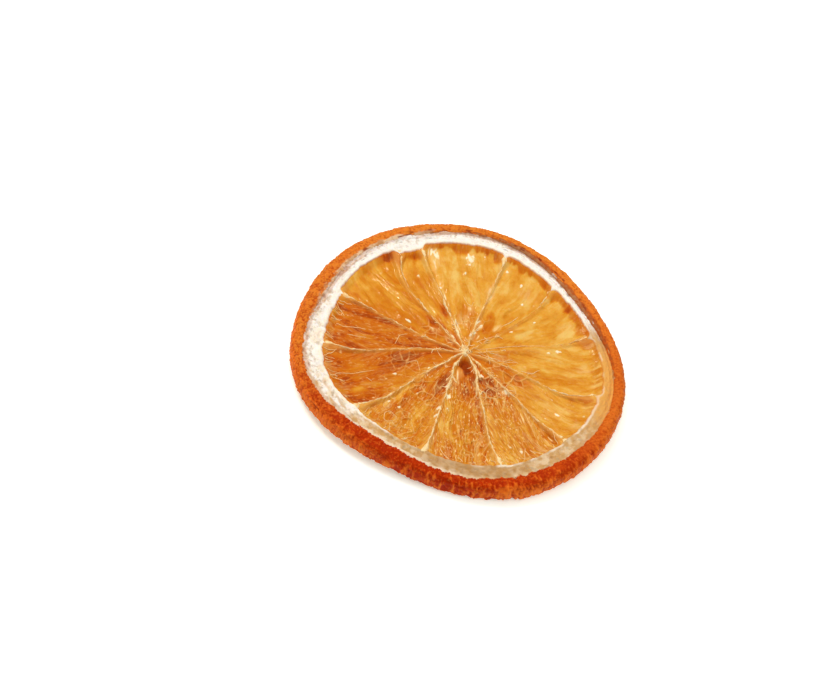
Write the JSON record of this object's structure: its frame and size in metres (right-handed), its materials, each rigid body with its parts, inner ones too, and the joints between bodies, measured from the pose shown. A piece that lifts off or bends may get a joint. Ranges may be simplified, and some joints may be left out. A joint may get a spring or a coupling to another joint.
{
  "type": "dried orange slice",
  "caption": "Dried whole cross slice of an orange, lying flat: curled rind rim, dry white pith, glassy sunken segments and raised membranes meeting at a knot.",
  "frame": {"origin": "under the middle of the slice's outline, on the surface it lies on", "axes": "+Z out of the upper cut face; +X and +Y lie in the slice, +Y towards the far edge of the picture's view"},
  "size_m": [0.061, 0.0608, 0.0042],
  "materials": {
    "flesh": "glassy dried juice cells, amber to deep orange, with a soft gloss",
    "rind": "dry pitted orange skin, matt, darker where it has browned",
    "pith": "dry fibrous pith, chalky white to glassy tan",
    "membrane": "thin dry skin between the segments, pale and part see-through"
  },
  "bodies": {
    "root": {"orange_slice": "flesh"}
  },
  "joints": []
}
